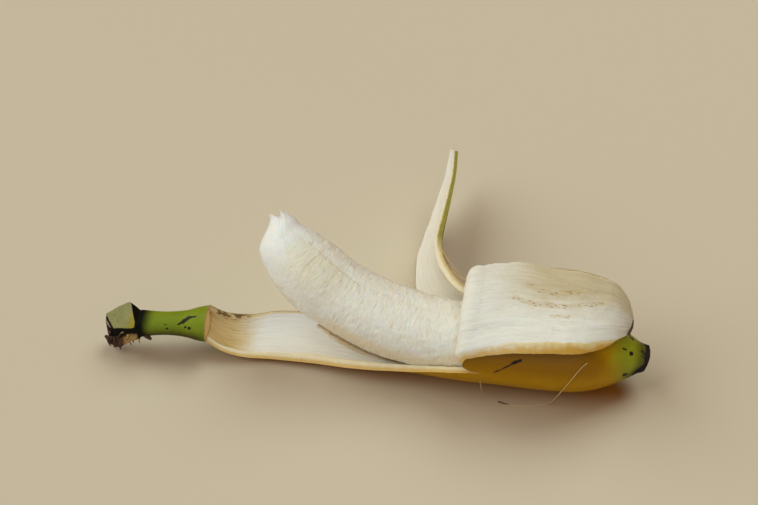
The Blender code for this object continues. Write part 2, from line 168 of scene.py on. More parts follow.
# Fruit
FLESH_END_X = 92.6
FLESH_BEND_X = 39.5
FLESH_BEND_LENGTH = 99
FLESH_FIRST_BEND = 167
FLESH_LAST_BEND = 68.2
FLESH_LEAN = math.radians(30)
FLESH_RADIUS = 13.5
FLESH_PROFILE = (
    *((0, 13.5), (8, 13.7), (27, 14.6), (45, 14.5), (60, 14.2), (71, 14.5)),
    *((79, 13.5), (85, 12), (90, 10.2), (93, 8.6), (95, 7), (97, 5), (99, 3.5)),
)
FLESH_TIP_SHIFT = 4.5
FLESH_TIP_RINGS = ((0.85, 0.2), (0.6, 1), (0.3, 1.4))  # share of the rim, depth
FLESH_TIP_DEPTH = 1.5
FLESH_ROUND_X = 46
FLESH_SEAMS = ((5.66, 0.3), (4.72, 0.16), (0.35, 0.22), (1.9, 0.2), (3.2, 0.2))  # angle, depth
FLESH_SHIFT_START = 91
TONGUE_START, TONGUE_END = 5.16, 5.22  # angles between which the torn end's tongue rises
TONGUE_HEIGHT = 3
FLESH_END_TEARS = ((3.93, 0.8, 0.14), (4.9, -1.3, 0.22), (2.05, -1.8, 0.45))  # angle, height, width

# Mesh density
STRIP_COLUMNS = 60
WALL_ROWS = 5
FOLD_LENGTH = 15
FOLD_ROWS = 30
FOLDED_ROWS = 125
LOWER_ROWS = 160
BACK_ROWS = 150
TRUNK_ROWS = 60
HOLLOW_ROWS = 10
STEM_ROWS = 50
CROWN_ROWS = 40
FLESH_COLUMNS = 200
FLESH_ROWS = 420

# Numbers of the looks on the skin and on the threads
SKIN, INSIDE, CUT = range(3)
PALE_THREAD, DARK_THREAD = range(2)
# How far red, green and blue light wander inside the fruit and the skin
SCATTER_RADIUS = (1, 0.8, 0.55)
SHARPEST_SMOOTH_EDGE = math.radians(60)

# Part zero to row frame: the blossom end and the tip of the strip behind are the box's corners
_, far_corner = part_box("peel")
SHIFT = np.array([far_corner.x / MM - BLOSSOM_X, far_corner.y / MM - BACK_STRIP[-1][1], -SETTLE])


def smooth(start, end, x):
    """0 up to start, 1 from end on, with a soft step between."""
    t = np.clip((np.asarray(x, float) - start) / (end - start), 0, 1)
    return t * t * (3 - 2 * t)


def unit(vectors):
    length = np.linalg.norm(vectors, axis=-1, keepdims=True)
    return vectors / np.maximum(length, 1e-9)


def through(knots, values, at, first_slope=None):
    """A smooth curve through the values at the knots, read at the given parameters."""
    knots = np.asarray(knots, float)
    values = np.asarray(values, float).reshape(len(knots), -1)
    at = np.atleast_1d(np.asarray(at, float))
    steps = np.diff(knots)[:, None]
    chords = np.diff(values, axis=0) / steps
    slopes = np.empty_like(values)
    slopes[1:-1] = (chords[:-1] * steps[1:] + chords[1:] * steps[:-1]) / (steps[:-1] + steps[1:])
    slopes[0] = chords[0] if first_slope is None else first_slope
    slopes[-1] = chords[-1]
    i = np.clip(np.searchsorted(knots, at, side="right") - 1, 0, len(steps) - 1)
    step = steps[i]
    t = (at - knots[i])[:, None] / step
    return (
        values[i] * (1 + 2 * t) * (1 - t) ** 2
        + slopes[i] * step * t * (1 - t) ** 2
        + values[i + 1] * t * t * (3 - 2 * t)
        + slopes[i + 1] * step * t * t * (t - 1)
    )


def full_turn(count):
    """Angles evenly spaced once round."""
    return np.arange(count) * 2 * math.pi / count


def along_line(points):
    """Distance of each point along the line through them."""
    return np.concatenate([[0], np.cumsum(np.linalg.norm(np.diff(points, axis=0), axis=1))])


def bumps(points, pitch, seed=0):
    """Smooth noise from -1 to 1 at each point, its bumps about pitch apart along each axis."""
    scaled = np.asarray(points, float) / pitch + seed
    flat = [noise.noise(p) for p in scaled.reshape(-1, 3).tolist()]
    return np.array(flat).reshape(scaled.shape[:-1])


def line_bumps(s, pitch, seed):
    """Smooth noise along a line."""
    s = np.asarray(s, float)
    return bumps(np.stack([s, np.full_like(s, seed), np.zeros_like(s)], axis=-1), [pitch, 1, 1])


def trunk_centre(x):
    share = smooth(TAPER_START_X, BLOSSOM_X, x)
    return [a + (b - a) * share for a, b in zip(TRUNK_CENTRE, BLOSSOM_CENTRE)]


def trunk_radius(x):
    knots, radii = zip((SPLIT_X, TRUNK_RADIUS), *TRUNK_TAPER)
    return through(knots, radii, x, 0)[:, 0]


def round_trunk(x, angle, radius):
    """Points round the trunk's axis. The three arrays broadcast together."""
    x, angle, radius = np.broadcast_arrays(x, angle, radius)
    y, z = trunk_centre(x)
    return np.stack([x, y - radius * np.sin(angle), z + radius * np.cos(angle)], axis=-1)


def chin(points, angle):
    """The blossom end hangs fuller below, and its end slopes back from top to bottom."""
    low = (1 - np.cos(angle - CHIN_TURN)) / 2
    points = points.copy()
    end = smooth(90, 103, points[..., 0])
    points[..., 1:] += (end * low)[..., None] * CHIN_REACH
    points[..., 0] -= (END_SLOPE[0] + END_SLOPE[1] * low) * smooth(99, 107, points[..., 0])
    return points


class Strip:
    """A strip of skin: arcs between two edge curves, rooted on the trunk's round section."""

    def __init__(self, sections, square_length, first_angle, last_angle, bevels, seed):
        root = round_trunk(SPLIT_X, np.array([first_angle, last_angle]), TRUNK_RADIUS)
        root_bulge = TRUNK_RADIUS * (1 - math.cos((last_angle - first_angle) / 2))
        self.rows = np.array([(*root[0], *root[1], root_bulge, 0), *sections])
        self.knots = along_line((self.rows[:, 0:3] + self.rows[:, 3:6]) / 2)
        self.length = self.knots[-1]
        self.root_slope = np.array([-1, 0, 0, -1, 0, 0, 0, 0])
        self.square_length = square_length
        self.bevels = bevels
        self.seed = seed
        self.chart_start = seed * CHART_STEP

    def edges(self, s):
        got = through(self.knots, self.rows, s, self.root_slope)
        return got[:, 0:3], got[:, 3:6], got[:, 6], got[:, 7]

    def skin(self, s, v):
        """The grid of points at distances s along the strip and fractions v across it."""
        step = 0.05
        first, last, bulge, arch = self.edges(s)
        before = sum(self.edges(s - step)[:2])
        after = sum(self.edges(s + step)[:2])
        share = smooth(0, self.square_length, s)[:, None]
        along = unit(unit(after - before) * share + (1 - share) * [-1, 0, 0])
        chord = np.linalg.norm(last - first, axis=1)
        across = unit(last - first)
        outward = unit(np.cross(along, across)) * bulge[:, None]
        upward = unit(np.cross(across, [1, 0, 0])) * arch[:, None]
        bow = outward + upward
        height = np.maximum(np.linalg.norm(bow, axis=1), 1e-3)
        half = 2 * np.arctan(2 * height / chord)
        radius = (chord / (2 * np.sin(half)))[:, None]
        angle = half[:, None] * (2 * v - 1)
        sideways = radius * np.sin(angle)
        lift = radius * (np.cos(angle) - np.cos(half)[:, None])
        middle = (first + last) / 2
        bow = bow / height[:, None]
        return middle[:, None] + across[:, None] * sideways[..., None] + bow[:, None] * lift[..., None]

    def normal(self, s, v):
        """Unit normals of the skin side, on the same grid."""
        ds, dv = 0.2, 0.01
        ahead = self.skin(np.minimum(s + ds, self.length), v)
        behind = self.skin(np.maximum(s - ds, 0), v)
        one_side = self.skin(s, np.minimum(v + dv, 1))
        other_side = self.skin(s, np.maximum(v - dv, 0))
        return unit(np.cross(ahead - behind, one_side - other_side))

    def ragged(self, s, v, inset, size):
        """Fractions across, with both edges drawn in by inset and made uneven by size, in mm."""
        fade = smooth(0, 6, s)
        drawn_in = []
        for knots, side in zip(inset, (0.3, 1.7)):
            seed = 10 * self.seed + side
            uneven = line_bumps(s, 7, seed) + 0.7 * line_bumps(s, 1.6, seed + 5)
            drawn_in.append((self.inset(s, knots) + size * uneven) * fade / CHART_WIDTH)
        first, last = drawn_in
        return first[:, None] + v * (1 - first - last)[:, None]

    def inset(self, s, knots):
        """How far the inner face stops short of the outer edge, from (share of length, mm)."""
        shares, sizes = zip(*knots)
        return np.interp(s / self.length, shares, sizes)

    def outside(self, s, v):
        return self.skin(s, self.ragged(s, v, (STRAIGHT, STRAIGHT), OUTER_EDGE_RAG))

    def inside(self, s, v):
        v = self.ragged(s, v, self.bevels, INNER_EDGE_RAG)
        normal = self.normal(s, v)
        if math.isinf(self.square_length):
            normal = unit(normal * [0, 1, 1])
        share = smooth(0.5, 1, s / self.length)
        thick = PEEL_THICK + (STRIP_END_THICK - PEEL_THICK) * share
        return self.skin(s, v) - normal * thick[:, None, None]


class Shell:
    """A closed mesh put together from grids that share vertices. Each vertex has a chart
    position: millimetres along, millimetres across, and depth from skin (0) to inside (1)."""

    def __init__(self):
        self.points = []
        self.charts = []
        self.faces = []
        self.looks = []

    def add(self, points, chart):
        """Adds points of any grid shape and returns their numbers in the same shape."""
        points = np.asarray(points, float)
        first = len(self.points)
        self.points.extend(points.reshape(-1, 3))
        spread = [np.broadcast_to(part, points.shape[:-1]) for part in chart]
        self.charts.extend(np.stack(spread, axis=-1).reshape(-1, 3))
        return np.arange(first, len(self.points)).reshape(points.shape[:-1])

    def ring(self, last, points, chart, look):
        """Adds a closed ring of points and joins it to the last one."""
        following = self.add(points, chart)
        self.sheet([last, following], look, closed=True)
        return following

    def place(self, numbers):
        return np.array([self.points[i] for i in numbers])

    def sheet(self, grid, look, closed=False):
        """Faces over a grid of vertex numbers. Closed joins the last column to the first."""
        grid = np.asarray(grid)
        if closed:
            grid = np.concatenate([grid, grid[:, :1]], axis=1)
        corners = [grid[:-1, :-1], grid[:-1, 1:], grid[1:, 1:], grid[1:, :-1]]
        quads = np.stack([c.reshape(-1) for c in corners], axis=1).tolist()
        self.faces.extend(quads)
        self.looks.extend([look] * len(quads))

    def fan(self, ring, tip, look):
        for a, b in zip(ring, np.roll(ring, -1)):
            self.faces.append([int(a), int(b), int(tip)])
            self.looks.append(look)

    def patch(self, bottom, top, left, right, along, across, look):
        """Fills four borders of vertex numbers: left and right run from bottom to top."""
        u = np.linspace(0, 1, len(left))[1:-1, None, None]
        v = np.linspace(0, 1, len(bottom))[None, 1:-1, None]
        west, east, south, north = (self.place(side) for side in (left, right, bottom, top))
        sides = west[1:-1, None] * (1 - v) + east[1:-1, None] * v
        ends = south[None, 1:-1] * (1 - u) + north[None, 1:-1] * u
        low = south[0] * (1 - v) + south[-1] * v
        high = north[0] * (1 - v) + north[-1] * v
        points = sides + ends - low * (1 - u) - high * u
        inner = self.add(points, (along, across + v[..., 0] * CHART_WIDTH, u[..., 0]))
        middle = np.concatenate([left[1:-1, None], inner, right[1:-1, None]], axis=1)
        self.sheet(np.concatenate([[bottom], middle, [top]]), look)


def grow_trunk(shell, angles, across):
    """The closed part of the skin. Returns the outer and the inner ring at the split."""
    last_x = TRUNK_TAPER[-1][0]
    x = np.linspace(SPLIT_X, last_x, TRUNK_ROWS)
    along = (SPLIT_X - x)[:, None]
    places = chin(round_trunk(x[:, None], angles, trunk_radius(x)[:, None]), angles)
    outer = shell.add(places, (along, across, 0))
    shell.sheet(outer, SKIN, closed=True)
    radius_share, kept_back, ridge = np.array(CAP).T[..., None]
    cap_x = BLOSSOM_X - (BLOSSOM_X - last_x) * kept_back
    cap = chin(round_trunk(cap_x, angles, trunk_radius(last_x) * radius_share), angles)
    cap[..., 2] += np.maximum(np.cos(angles), 0) ** 4 * ridge
    cap_ids = shell.add(cap, (SPLIT_X - cap_x, across, 0))
    shell.sheet(np.concatenate([outer[-1:], cap_ids]), SKIN, closed=True)
    tip = shell.add(cap[-1].mean(axis=0) - [0.2, 0, 0], (SPLIT_X - BLOSSOM_X, 0, 0))
    shell.fan(cap_ids[-1], tip, SKIN)

    x = np.linspace(SPLIT_X, HOLLOW_ROUND_X, HOLLOW_ROWS)
    radius = trunk_radius(x) - PEEL_THICK
    along = (SPLIT_X - x)[:, None]
    inner = shell.add(round_trunk(x[:, None], angles, radius[:, None]), (along, across, 1))
    shell.sheet(inner, INSIDE, closed=True)
    end = [HOLLOW_END_X, *trunk_centre(HOLLOW_END_X)]
    shell.fan(inner[-1], shell.add(end, (SPLIT_X - HOLLOW_END_X, 0, 1)), INSIDE)
    return outer[0], inner[0]


def rows_along(length, fold_rows, rows):
    """Row distances along a strip. One that folds has closer rows over its fold."""
    fold = np.linspace(0, FOLD_LENGTH, fold_rows + 1)[1:]
    start = FOLD_LENGTH if fold_rows else 0
    return np.concatenate([fold, np.linspace(start, length, rows + 1)[1:]])


def grow_strip(shell, strip, fold_rows, rows, outer_root, inner_root, first_wall, last_wall):
    """One strip from its root to its end. Returns its end's skin, inner and two wall rows."""
    s = rows_along(strip.length, fold_rows, rows)
    v = np.linspace(0, 1, STRIP_COLUMNS + 1)
    along = s[:, None]
    skin, inside = strip.outside(s, v), strip.inside(s, v)
    across = strip.chart_start + v * CHART_WIDTH
    skin_ids = np.concatenate([[outer_root], shell.add(skin, (along, across, 0))])
    inside_ids = np.concatenate([[inner_root], shell.add(inside, (along, across, 1))])
    shell.sheet(skin_ids, SKIN)
    shell.sheet(inside_ids, INSIDE)
    depth = np.arange(1, WALL_ROWS) / WALL_ROWS
    share = depth[:, None]
    ends = []
    for edge, root in ((0, first_wall), (-1, last_wall)):
        places = skin[:, edge, None] * (1 - share) + inside[:, edge, None] * share
        between = shell.add(places, (along, across[edge], depth))
        rest = np.concatenate([skin_ids[1:, edge, None], between, inside_ids[1:, edge, None]], axis=1)
        shell.sheet(np.concatenate([[root], rest]), CUT)
        ends.append(rest[-1])
    return skin_ids[-1], inside_ids[-1], ends[0], ends[1]


def crown_ring(directions, x, reach_y, reach_z):
    """One section of the crown, its top cut off by the knife's plane."""
    centre = np.array([x, sum(reach_y) / 2, sum(reach_z) / 2])
    half = np.array([reach_y[1] - reach_y[0], reach_z[1] - reach_z[0]]) / 2
    shares = (np.abs(directions[:, 1:] / half) ** CROWN_CORNERS).sum(axis=1)
    ring = centre + directions * [0, 1, 1] * (shares ** (-1 / CROWN_CORNERS))[:, None]
    ring[:, 1] += CROWN_SHEAR * np.minimum(ring[:, 2] - CROWN_LEAN_Z, 0)
    low = np.maximum(CROWN_LEAN_Z - 1 - ring[:, 2], 0)
    short = np.minimum(low, CROWN_DEEPEST_RAG)
    torn = bumps(ring, [1.6, 1.6, 2.4], 5.5) + 0.5 * bumps(ring, 0.8, 2.5)
    back = CROWN_DRAWN_BACK * smooth(-106, -110, x)
    up = CROWN_DRAWN_UP * smooth(-103, -98.5, x)
    moves = [back, 0, up] + torn[:, None] * CROWN_RAG
    ring += np.stack([short, short, low], axis=1) * moves
    low_middle = np.array([x, centre[1], reach_z[0]])
    above = (ring - KNIFE_POINT) @ KNIFE_NORMAL
    below = (KNIFE_POINT - low_middle) @ KNIFE_NORMAL
    share = below / (below + np.maximum(above, 0))
    return low_middle + (ring - low_middle) * share[:, None]


def grow_stem(shell, strip, skin_end, inside_end, first_wall, last_wall):
    """Neck, stem and crown on the end of the lower strip."""
    low = shell.place(skin_end)
    centre = (low[0] + low[-1]) / 2
    side = unit(low[-1] - low[0])
    down = unit(low[STRIP_COLUMNS // 2] - centre)
    neck_radius = np.linalg.norm(low[0] - centre)

    turn = full_turn(2 * STRIP_COLUMNS) - math.pi / 2
    circle = side * np.sin(turn)[:, None] + down * np.cos(turn)[:, None]
    across = CHART_STEP + turn / math.pi * CHART_WIDTH

    torn_across = across[STRIP_COLUMNS + 1 :]
    rim = centre + neck_radius * circle[STRIP_COLUMNS + 1 :]
    torn = shell.add(rim, (strip.length, torn_across, 0))
    inner_half = np.concatenate([first_wall[1:-1], inside_end, last_wall[1:-1][::-1]])
    outer_half = np.concatenate([skin_end[-1:], torn, skin_end[:1]])
    middle = CHART_STEP + CHART_WIDTH / 2
    hub = shell.add(centre - 0.2 * neck_radius * down, (strip.length, middle, 1))
    ring = np.concatenate([inner_half, outer_half])
    hub_place = shell.place([hub])[0]
    outer = shell.place(ring)
    for share in NECK_RINGS:
        shrunk = hub_place + (outer - hub_place) * share
        ring = shell.ring(ring, shrunk, (strip.length, middle, 1 - share / 2), INSIDE)
    shell.fan(ring, hub, INSIDE)

    ring = np.concatenate([skin_end, torn])
    sections = np.array([(*centre, neck_radius), *STEM])
    knots = along_line(sections[:, :3])
    at = np.linspace(0, knots[-1], STEM_ROWS + 1)[1:]
    for s, section in zip(at, through(knots, sections, at)):
        ring = shell.ring(ring, section[:3] + section[3] * circle, (strip.length + s, across, 0), SKIN)
    crown = np.array(CROWN)
    at = np.linspace(-crown[0, 0], -crown[-1, 0], CROWN_ROWS)
    for x, got in zip(-at, through(-crown[:, 0], crown[:, 1:], at)):
        cut = crown_ring(circle, x, got[:2], got[2:])
        ring = shell.ring(ring, cut, (strip.length - x + CROWN_CHART, across, 0), SKIN)
    shell.fan(ring, shell.add(CROWN_END, (strip.length - CROWN_END[0], 0, 0)), SKIN)


def peel_shell():
    shell = Shell()
    spans = (
        (FOLDED_STRIP, FOLD_ROWS, FOLDED_ROWS, FOLDED_SQUARE, SPLIT_BACK, SPLIT_NEAR, FOLDED_SLOPES),
        (LOWER_STRIP, 0, LOWER_ROWS, math.inf, SPLIT_NEAR, SPLIT_UNDER, LOWER_SLOPES),
        (BACK_STRIP, 0, BACK_ROWS, BACK_SQUARE, SPLIT_UNDER, SPLIT_BACK + 2 * math.pi, BACK_SLOPES),
    )
    angles = np.concatenate([np.linspace(a, b, STRIP_COLUMNS + 1)[:-1] for *_, a, b, _ in spans])
    one = np.linspace(0, CHART_WIDTH, STRIP_COLUMNS + 1)[:-1]
    across = np.concatenate([one + i * CHART_STEP for i in range(len(spans))])
    outer, inner = grow_trunk(shell, angles, across)

    share = np.arange(1, WALL_ROWS)[:, None] / WALL_ROWS
    walls = []
    for column in range(0, len(angles), STRIP_COLUMNS):
        a, b = shell.place([outer[column], inner[column]])
        between = shell.add(a * (1 - share) + b * share, (0, across[column], share[:, 0]))
        walls.append(np.concatenate([[outer[column]], between, [inner[column]]]))

    for i, (sections, fold_rows, rows, square_length, first_angle, last_angle, bevels) in enumerate(spans):
        columns = (np.arange(STRIP_COLUMNS + 1) + i * STRIP_COLUMNS) % len(angles)
        strip = Strip(sections, square_length, first_angle, last_angle, bevels, i)
        roots = outer[columns], inner[columns], walls[i], walls[(i + 1) % 3]
        ends = grow_strip(shell, strip, fold_rows, rows, *roots)
        if sections is LOWER_STRIP:
            grow_stem(shell, strip, *ends)
        else:
            shell.patch(*ends, strip.length, strip.chart_start, CUT)
    return shell


def flesh_axis(rows):
    """Distance from where the bend starts, centre, and direction to the inside of the curve."""
    bend = np.linspace(0, FLESH_BEND_LENGTH, rows)
    tightness = (1 / FLESH_LAST_BEND - 1 / FLESH_FIRST_BEND) / FLESH_BEND_LENGTH
    turned = bend / FLESH_FIRST_BEND + tightness * bend**2 / 2
    step = bend[1] - bend[0]
    middle = (turned[1:] + turned[:-1]) / 2
    forward = np.concatenate([[0], np.cumsum(np.cos(middle) * step)])
    risen = np.concatenate([[0], np.cumsum(np.sin(middle) * step)])
    rise = np.array([0, math.sin(FLESH_LEAN), math.cos(FLESH_LEAN)])
    start = np.array([FLESH_BEND_X, *TRUNK_CENTRE])
    centre = start - forward[:, None] * [1, 0, 0] + risen[:, None] * rise
    inward = np.sin(turned)[:, None] * [1, 0, 0] + np.cos(turned)[:, None] * rise
    return bend, centre, inward


def flesh_relief(s, around):
    """How far the fruit's surface stands out: short ridges across it and long soft edges."""
    s, around = np.broadcast_arrays(s, around)
    ring = np.stack([s, 14 * np.cos(around), 14 * np.sin(around)], axis=-1)
    rough = 1 - smooth(76, 93, s)
    patches = bumps(ring, [5, 4, 4], 1.3)
    ridges = bumps(ring, [0.8, 3.2, 3.2], 3.1) + 0.5 * bumps(ring, [0.5, 1.6, 1.6], 7.7)
    ridges *= 0.17 + 0.17 * smooth(-0.2, 0.5, patches)
    lumps = bumps(ring, [2.2, 2.6, 2.6], 9.2)
    swells = bumps(ring, [9, 5, 5], 6.4)
    sides = 0.22 * np.cos(5 * around + 0.9) + 0.12 * np.cos(3 * around + 0.6)
    seams = sum(
        depth * np.exp(-(((around - at - 0.05 * bumps(ring, [14, 90, 90], at)) / 0.035) ** 2))
        for at, depth in FLESH_SEAMS
    )
    body = smooth(6, 30, s) * (1 - smooth(86, 94, s))
    groove = 0.35 * np.exp(-(((around - TONGUE_START) / 0.06) ** 2)) * smooth(84, 95, s)
    grain = rough * (ridges + 0.12 * patches + 0.15 * lumps)
    return grain + 0.25 * swells * body + sides - seams * body - groove


def flesh_end(around):
    """How far the torn end stands up round the fruit's tip: a broad tongue and a thin spike."""
    slant = 0.5 - 1.5 * np.cos(around - 0.17)
    past = np.clip((around - TONGUE_END) / 0.85, 0, 1)
    tongue = TONGUE_HEIGHT * smooth(TONGUE_START, TONGUE_END, around) * (1 - past**0.8)
    rest = sum(high * np.exp(-(((around - at) / wide) ** 2)) for at, high, wide in FLESH_END_TEARS)
    return slant + tongue + rest + 0.3 * line_bumps(4 * around, 1, 6.3)


def flesh_shell():
    shell = Shell()
    around = full_turn(FLESH_COLUMNS)
    x = np.linspace(HOLLOW_ROUND_X, FLESH_ROUND_X, HOLLOW_ROWS)
    radius = np.minimum(trunk_radius(x) - PEEL_THICK - FIT_GAP, FLESH_RADIUS)
    across = around / (2 * math.pi) * CHART_WIDTH
    along = (FLESH_BEND_X - x)[:, None]
    inside = shell.add(round_trunk(x[:, None], -around, radius[:, None]), (along, across, 1))
    shell.sheet(inside, 0, closed=True)
    end = [FLESH_END_X, *trunk_centre(FLESH_END_X)]
    shell.fan(inside[0], shell.add(end, (FLESH_BEND_X - FLESH_END_X, 0, 1)), 0)

    s, centre, inward = flesh_axis(FLESH_ROWS)
    knots, radii = zip(*FLESH_PROFILE)
    radius = through(knots, radii, s)[:, 0]
    shift = FLESH_TIP_SHIFT * smooth(FLESH_SHIFT_START, FLESH_BEND_LENGTH, s)
    centre = centre + inward * shift[:, None]
    forward = unit(np.gradient(centre, axis=0))
    side = np.array([0, math.cos(FLESH_LEAN), -math.sin(FLESH_LEAN)])
    spin = around + FLESH_LEAN * (1 - smooth(0, 20, s))[:, None]
    circle = inward[:, None] * np.cos(spin)[..., None] + side * np.sin(spin)[..., None]
    out = radius[:, None] + flesh_relief(s[:, None], around) * smooth(0, 12, s)[:, None]
    points = centre[:, None] + circle * out[..., None]
    pull = smooth(94, FLESH_BEND_LENGTH, s)[:, None] * flesh_end(around)
    points += forward[:, None] * pull[..., None]
    grid = shell.add(points, (s[:, None], across, 1))
    shell.sheet(np.concatenate([inside[-1:], grid]), 0, closed=True)
    ring = grid[-1]
    rim = points[-1]
    for share, sink in FLESH_TIP_RINGS:
        inner = centre[-1] + (rim - centre[-1]) * share - forward[-1] * sink
        ring = shell.ring(ring, inner, (FLESH_BEND_LENGTH, across, 1), 0)
    tip = centre[-1] - forward[-1] * FLESH_TIP_DEPTH
    shell.fan(ring, shell.add(tip, (FLESH_BEND_LENGTH, 0, 1)), 0)
    return shell


# Loose threads: look, thickness at the root, then the places they pass
THREADS = (
    (PALE_THREAD, 0.22, ((20, 38.6, 27.2), (23.9, 29.4, 30.6), (27.5, 20.1, 35.9), (32.8, 11.4, 39.2))),
    (PALE_THREAD, 0.2, ((20.2, 38.4, 25.4), (24, 29.4, 26.4), (27.6, 20.1, 33), (32.3, 11.6, 38.9))),
    (PALE_THREAD, 0.16, ((20.3, 38.4, 26), (24.3, 29.4, 27.4), (28.2, 19.6, 33.6), (32.8, 11.4, 39))),
    (
        PALE_THREAD,
        0.19,
        (
            *((81.9, -12, 25.9), (80.5, -13.2, 24.8), (78.9, -14.5, 23), (77.3, -15.6, 20.4)),
            *((75.7, -16.2, 17), (73.6, -16.2, 11.6), (71.4, -15.4, 5.6), (69.4, -14.4, 1)),
            *((66.2, -14.9, 0.3), (62.3, -16.2, 0.3), (56.5, -16.8, 0.3), (52.5, -16.9, 0.3)),
        ),
    ),
    (PALE_THREAD, 0.18, ((41.9, -15.9, 12.8), (42.8, -15.2, 6), (43.9, -11.8, 0.3))),
    (DARK_THREAD, 0.3, ((49.7, -15.8, 0.3), (51.7, -16.5, 0.5), (54.1, -16.6, 0.3))),
    (DARK_THREAD, 0.55, ((96.8, 0.8, 29.6), (97.8, 3, 31.8), (98.2, 5.6, 33.2))),
    (DARK_THREAD, 1.3, ((-94, -10, 11.6), (-92.2, -10.4, 9.8), (-91, -10.7, 8.8))),
)
THREAD_SIDES = 8
THREAD_STEP = 0.7
THREAD_WOBBLE = 0.12
THREAD_TAPER = 0.65
# Torn fibres under the crown, first those at its end, then those towards the stem: where they
# start, how far they drop, how many, their bend, how thick they are and how flat
CROWN_FIBRES = (
    (((-110, -103.5), (-11.5, -7.5), (6, 9)), ((-0.6, 1.8), (-1.2, 0.2), (-6.5, -3)))
    + (26, 0.7, (0.3, 0.75), 1),
    (((-102.5, -94.5), (-12, -8.5), (9.5, 12.5)), ((-3.5, 1), (-1, 0.3), (-4, -1.5)))
    + (16, 0.5, (0.35, 0.9), 0.5),
)


def add_thread(shell, look, radius, places, flat=1):
    """A thread with a tapering round section along a smooth curve through the places."""
    places = np.array(places, float)
    knots = along_line(places)
    s = np.linspace(0, knots[-1], max(6, int(knots[-1] / THREAD_STEP)))
    line = through(knots, places, s)
    wobble = [line_bumps(s, 2.5, seed + radius) for seed in (1.5, 4.5, 8.5)]
    line = line + THREAD_WOBBLE * np.stack(wobble, axis=-1)
    ahead = unit(np.gradient(line, axis=0))
    side = unit(np.cross(ahead, [0.2, 0.3, 0.93]))
    other = np.cross(side, ahead)
    turn = full_turn(THREAD_SIDES)[:, None]
    thick = (radius * (1 - THREAD_TAPER * (s / s[-1]) ** 2))[:, None, None]
    round_it = side[:, None] * np.cos(turn) + flat * other[:, None] * np.sin(turn)
    grid = shell.add(line[:, None] + thick * round_it, (s[:, None], turn[:, 0], 0))
    shell.sheet(grid, look, closed=True)
    for ring, end in ((grid[0], line[0]), (grid[-1], line[-1])):
        shell.fan(ring, shell.add(end, (0, 0, 0)), look)


def threads_shell():
    shell = Shell()
    for look, radius, places in THREADS:
        add_thread(shell, look, radius, places)
    draw = np.random.RandomState(4)
    for starts, drops, count, bend, thickness, flat in CROWN_FIBRES:
        for _ in range(count):
            root = np.array([draw.uniform(*reach) for reach in starts])
            drop = np.array([draw.uniform(*reach) for reach in drops])
            knee = root + drop / 2 + draw.uniform(-bend, bend, 3)
            radius = draw.uniform(*thickness)
            add_thread(shell, DARK_THREAD, radius, (root, knee, root + drop), flat)
    return shell


def relief_of_peel(mesh_points, normals, charts):
    """Moves each vertex of the skin along its normal: fibres inside, roughness on the cuts."""
    along, across, depth = charts.T
    strip = smooth(1, 8, along)
    neck = smooth(88, 100, along) * (across > CHART_STEP / 2)
    folded = across < CHART_STEP / 2
    plates = bumps(charts, [16, 2.6, 1], 4.4)
    fibres = bumps(charts, [7, 1.2, 1], 9.1)
    broad = bumps(mesh_points, 7, 2.2)
    grain = bumps(mesh_points, 1.3, 3.7)
    height = (0.26 + 0.14 * folded) * plates + 0.12 * fibres + 0.2 * broad
    height = height + (0.05 + 0.05 * folded) * grain
    height = height + neck * 0.25 * bumps(charts, [12, 1.7, 1], 1.9)
    inside = smooth(0.9, 1, depth) * strip * height
    cut = smooth(0, 0.4, depth) * (1 - smooth(0.8, 1, depth)) * strip
    rough = 0.14 * bumps(mesh_points, 0.9, 6)
    skin = (1 - smooth(0, 0.2, depth)) * 0.06 * bumps(mesh_points, 4, 8)
    return mesh_points + normals * (inside + cut * rough + skin)[:, None]


def put_in_scene(name, data):
    thing = bpy.data.objects.new(name, data)
    bpy.context.scene.collection.objects.link(thing)
    return thing


def build(name, shell, looks, relief=None):
    """Turns a shell into an object in the row frame."""
    points = np.array(shell.points)
    mesh = bpy.data.meshes.new(name)
    mesh.from_pydata(points.tolist(), [], shell.faces)
    whole = bmesh.new()
    whole.from_mesh(mesh)
    bmesh.ops.recalc_face_normals(whole, faces=whole.faces)
    whole.to_mesh(mesh)
    whole.free()
    charts = np.array(shell.charts)
    if relief:
        normals = np.array([v.normal for v in mesh.vertices])
        points = relief(points, normals, charts)
    points = points + SHIFT
    points[:, 2] = np.maximum(points[:, 2], 0)
    mesh.vertices.foreach_set("co", (points * MM).astype(np.float32).ravel())
    chart = mesh.attributes.new("chart", "FLOAT_VECTOR", "POINT")
    chart.data.foreach_set("vector", charts.astype(np.float32).ravel())
    for look in looks:
        mesh.materials.append(look)
    mesh.polygons.foreach_set("material_index", shell.looks)
    mesh.shade_smooth()
    mesh.set_sharp_from_angle(angle=SHARPEST_SMOOTH_EDGE)
    mesh.update()
    return put_in_scene(name, mesh)


def from_srgb(red, green, blue):
    """A screen colour, 0 to 255, as the linear colour that shaders take."""
    parts = np.array([red, green, blue]) / 255
    linear = np.where(parts <= 0.04045, parts / 12.92, ((parts + 0.055) / 1.055) ** 2.4)
    return (*linear.tolist(), 1)


